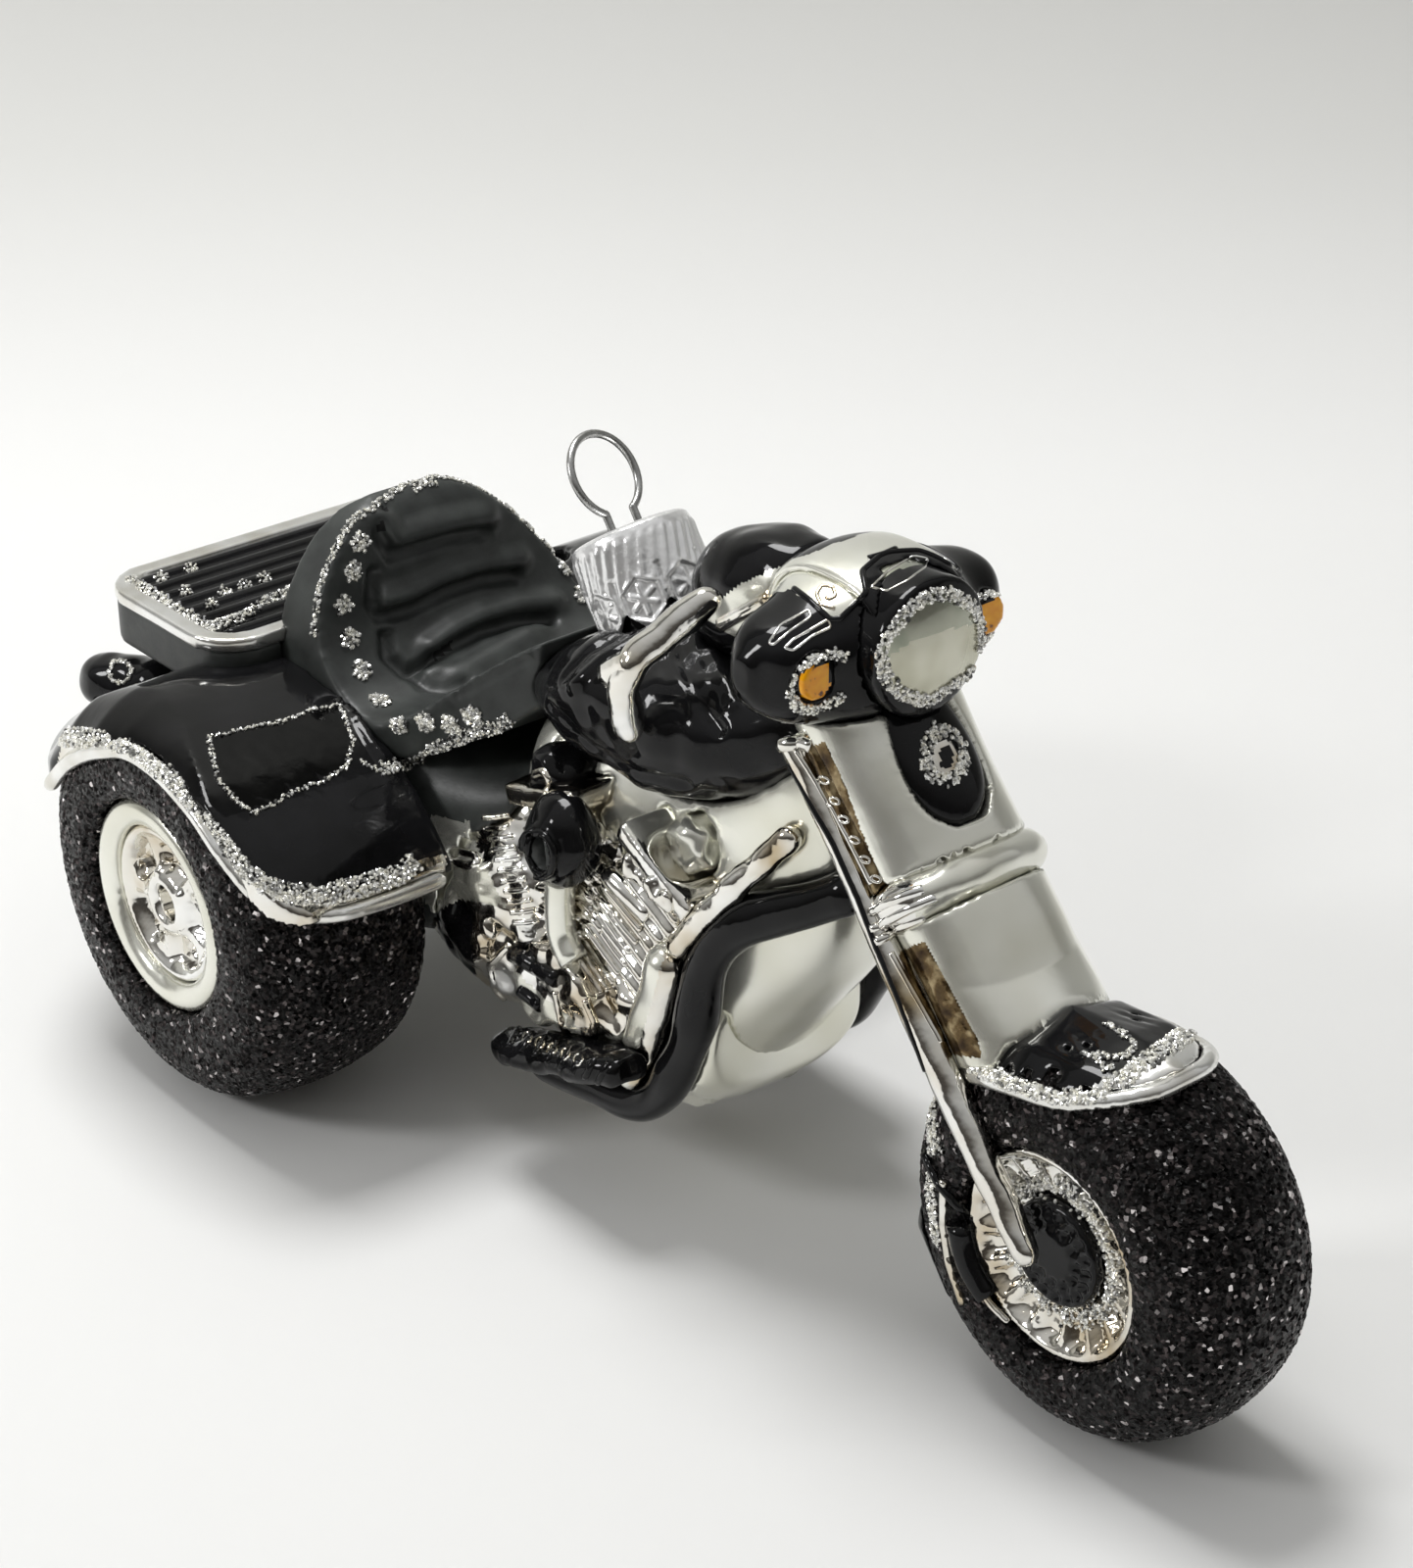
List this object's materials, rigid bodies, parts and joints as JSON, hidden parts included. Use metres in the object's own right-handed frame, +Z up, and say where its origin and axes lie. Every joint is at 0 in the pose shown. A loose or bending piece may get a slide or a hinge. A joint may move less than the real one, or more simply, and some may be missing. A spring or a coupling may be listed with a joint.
{
  "type": "glass trike ornament",
  "caption": "Blown-glass tree ornament in the shape of a motor trike, with a crown cap that lifts off its neck and a spring-wire hanger.",
  "frame": {"origin": "on the floor, under the middle of the ornament's box", "axes": "+X to the front wheel, +Y to the trike's left side, +Z up"},
  "size_m": [0.1583, 0.0808, 0.0775],
  "materials": {
    "gloss_black": "gloss black enamel on glass",
    "matte_black": "matte charcoal lacquer on glass",
    "mirror_silver": "glass silvered inside, bright mirror",
    "amber_mirror": "silvered glass tinted amber",
    "silver_lip": "silvered glass edge with silver glitter beside it",
    "pearl": "satin pearl lacquer on silvered glass",
    "lens_pearl": "greenish pearl lacquer with a ring of silver beads",
    "black_glitter": "coarse black glitter on glass",
    "amber_stone": "flat-cut amber glass stone, foil backed",
    "cap_metal": "bright stamped metal",
    "wire": "drawn spring wire"
  },
  "bodies": {
    "glass_trike": {"cap_neck": "gloss_black", "headlamp": "lens_pearl", "horn_drop": "gloss_black", "fork_clamp": "mirror_silver", "air_horn": "gloss_black", "front_fender_lip": "silver_lip", "rack_frame": "silver_lip", "rack_slats": "gloss_black", "nacelle": "gloss_black", "visor": "pearl", "dash": "gloss_black", "front_rim": "mirror_silver", "front_tyre": "black_glitter", "front_fender": "gloss_black", "fork_cover": "pearl", "tank": "gloss_black", "seat": "matte_black", "trunk": "matte_black", "rocker_front": "mirror_silver", "rocker_rear": "mirror_silver", "cylinder_front": "mirror_silver", "cylinder_rear": "mirror_silver", "crankcase": "mirror_silver", "gearbox": "matte_black", "belly": "pearl", "rear_body": "gloss_black", "signal_right": "amber_stone", "signal_left": "amber_stone", "brake_disc_right": "gloss_black", "brake_disc_left": "gloss_black", "handlebar_right": "mirror_silver", "handlebar_left": "mirror_silver", "fork_leg_right": "mirror_silver", "fork_leg_left": "mirror_silver", "crash_bar_right": "gloss_black", "crash_bar_left": "gloss_black", "footboard_right": "gloss_black", "footboard_left": "gloss_black", "tail_light_right": "gloss_black", "tail_light_left": "gloss_black", "fender_lip_right": "silver_lip", "fender_lip_left": "silver_lip", "fender_right": "gloss_black", "fender_left": "gloss_black", "rear_hub_right": "mirror_silver", "rear_hub_left": "mirror_silver", "rear_rim_right": "pearl", "rear_rim_left": "pearl", "rear_tyre_right": "black_glitter", "rear_tyre_left": "black_glitter", "down_tube_right": "mirror_silver", "down_tube_left": "mirror_silver", "side_tube_right": "pearl", "side_tube_left": "pearl", "fork_channel_right": "amber_mirror", "fork_channel_left": "amber_mirror"},
    "cap": {"cap": "cap_metal"},
    "hanger": {"hanger": "wire"}
  },
  "joints": [
    {"name": "cap_pull", "type": "slide", "parent": "glass_trike", "child": "cap", "axis": [-0.5793, 0, 0.8151], "range_m": [0, 0.026]},
    {"name": "hanger_pull", "type": "slide", "parent": "cap", "child": "hanger", "axis": [-0.5793, 0, 0.8151], "range_m": [0, 0.003]}
  ]
}
